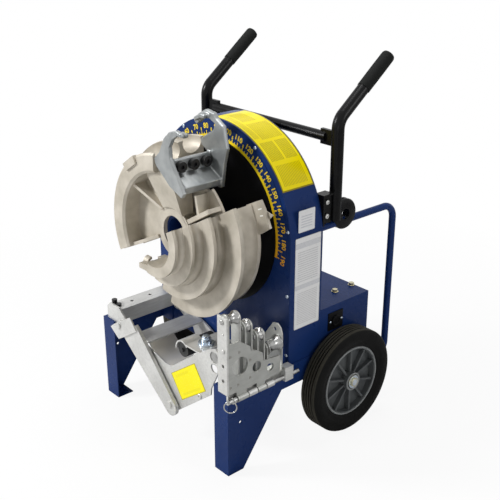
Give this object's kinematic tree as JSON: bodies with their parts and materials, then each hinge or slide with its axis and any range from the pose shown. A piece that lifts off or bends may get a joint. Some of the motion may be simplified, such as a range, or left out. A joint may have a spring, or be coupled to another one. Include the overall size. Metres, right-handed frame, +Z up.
{
  "type": "electric pipe bender",
  "caption": "Electric pipe bender on wheels: round housing with a turning grooved shoe and hook, a roller unit, a support cradle and a push handle.",
  "frame": {"origin": "middle of the part's footprint on the floor", "axes": "X to the right seen from the shoe's side, Y to the back, Z up; the shoe turns about a line along Y"},
  "size_m": [0.7032, 0.6658, 1.0362],
  "materials": {
    "blue_paint": "gloss",
    "black_paint": "gloss",
    "black_plastic": "gloss",
    "zinc": "satin",
    "bright_zinc": "bright",
    "roller_steel": "bright",
    "gear_steel": "machined",
    "motor_paint": "satin",
    "reducer_iron": "matte",
    "cast_aluminium": "as cast",
    "hook_aluminium": "satin",
    "black_oxide": "black",
    "yellow_scale": "satin",
    "black_rubber": "matte",
    "grip_foam": "matte",
    "tyre_rubber": "matte",
    "wheel_grey": "satin"
  },
  "bodies": {
    "chassis": {"front_plate": "blue_paint", "side_band": "blue_paint", "back_plate": "blue_paint", "base_pan": "blue_paint", "left_leg": "blue_paint", "right_leg": "blue_paint", "gearbox_cover": "blue_paint", "cover_bolts": "bright_zinc", "socket_plate": "black_plastic", "motor": "motor_paint", "reducer": "reducer_iron", "shaft_bearings": "gear_steel", "face_disc": "black_paint", "dial_scale": "yellow_scale", "front_screws": "bright_zinc", "hinge_base": "zinc", "left_rail": "zinc", "rail_bolts": "black_oxide", "side_tubes": "blue_paint", "left_handle": "black_paint", "right_handle": "black_paint", "handle_crossbar": "black_paint", "hand_grips": "grip_foam", "handle_brackets": "black_paint", "tube_clamps": "black_plastic", "axle": "bright_zinc", "axle_brackets": "blue_paint", "hub_nuts": "bright_zinc"},
    "shoe": {"shoe_casting": "cast_aluminium", "shoe_left_part": "cast_aluminium", "shoe_hub": "cast_aluminium", "hook_saddle": "hook_aluminium", "hook_bolts": "black_oxide", "shoe_pointer": "cast_aluminium", "main_shaft": "blue_paint", "main_gear": "gear_steel"},
    "pinion": {"drive_pinion": "gear_steel"},
    "roller_unit": {"roller_frame": "zinc", "unit_end_plate": "zinc", "unit_screws": "bright_zinc", "roller_axles": "bright_zinc"},
    "first_roller": {"roller_1": "roller_steel"},
    "second_roller": {"roller_2": "roller_steel"},
    "third_roller": {"roller_3": "roller_steel"},
    "fourth_roller": {"roller_4": "roller_steel"},
    "hinge_pin": {"pull_pin": "bright_zinc"},
    "cradle": {"cradle_cross_plate": "zinc", "cradle_front_arm": "zinc", "cradle_back_arm": "zinc", "cradle_rail": "zinc", "label_plate": "zinc", "support_shell": "zinc", "roller_yoke": "zinc", "cradle_pins": "bright_zinc"},
    "cradle_roller": {"support_roller": "black_rubber"},
    "knob": {"adjusting_knob": "bright_zinc"},
    "left_wheel": {"left_tyre": "tyre_rubber", "left_hub": "wheel_grey"},
    "right_wheel": {"right_tyre": "tyre_rubber", "right_hub": "wheel_grey"}
  },
  "joints": [
    {"name": "shoe_turn", "type": "hinge", "parent": "chassis", "child": "shoe", "pos_m": [0, -0.16485, 0.585], "axis": [0, 1, 0], "range_deg": [-165, 35]},
    {"name": "pinion_spin", "type": "hinge", "parent": "chassis", "child": "pinion", "pos_m": [0, -0.05485, 0.345], "axis": [0, 1, 0], "range_deg": [-660, 660]},
    {"name": "unit_swing", "type": "hinge", "parent": "chassis", "child": "roller_unit", "pos_m": [0.3, -0.31485, 0.236], "axis": [0, 1, 0], "range_deg": [0, 90]},
    {"name": "roller_1_spin", "type": "hinge", "parent": "roller_unit", "child": "first_roller", "pos_m": [0.282, -0.30485, 0.455], "axis": [0, 1, 0], "continuous": true},
    {"name": "roller_2_spin", "type": "hinge", "parent": "roller_unit", "child": "second_roller", "pos_m": [0.282, -0.30485, 0.42], "axis": [0, 1, 0], "continuous": true},
    {"name": "roller_3_spin", "type": "hinge", "parent": "roller_unit", "child": "third_roller", "pos_m": [0.282, -0.30485, 0.381], "axis": [0, 1, 0], "continuous": true},
    {"name": "roller_4_spin", "type": "hinge", "parent": "roller_unit", "child": "fourth_roller", "pos_m": [0.282, -0.30485, 0.335], "axis": [0, 1, 0], "continuous": true},
    {"name": "pin_pull", "type": "slide", "parent": "chassis", "child": "hinge_pin", "axis": [0, -1, 0], "range_m": [0, 0.24]},
    {"name": "cradle_tilt", "type": "hinge", "parent": "chassis", "child": "cradle", "pos_m": [-0.19, -0.31485, 0.262], "axis": [0, -1, 0], "range_deg": [0, 6]},
    {"name": "cradle_roller_spin", "type": "hinge", "parent": "cradle", "child": "cradle_roller", "pos_m": [0.078, -0.25485, 0.284], "axis": [0, 1, 0], "continuous": true},
    {"name": "knob_turn", "type": "hinge", "parent": "cradle", "child": "knob", "pos_m": [0.126, -0.25485, 0.262], "axis": [0, 0, 1], "continuous": true},
    {"name": "left_wheel_spin", "type": "hinge", "parent": "chassis", "child": "left_wheel", "pos_m": [-0.316, 0.08985, 0.1524], "axis": [1, 0, 0], "continuous": true},
    {"name": "right_wheel_spin", "type": "hinge", "parent": "chassis", "child": "right_wheel", "pos_m": [0.316, 0.08985, 0.1524], "axis": [1, 0, 0], "continuous": true}
  ],
  "couplings": [
    {"joint": "pinion_spin", "follows": "shoe_turn", "ratio": -4}
  ]
}
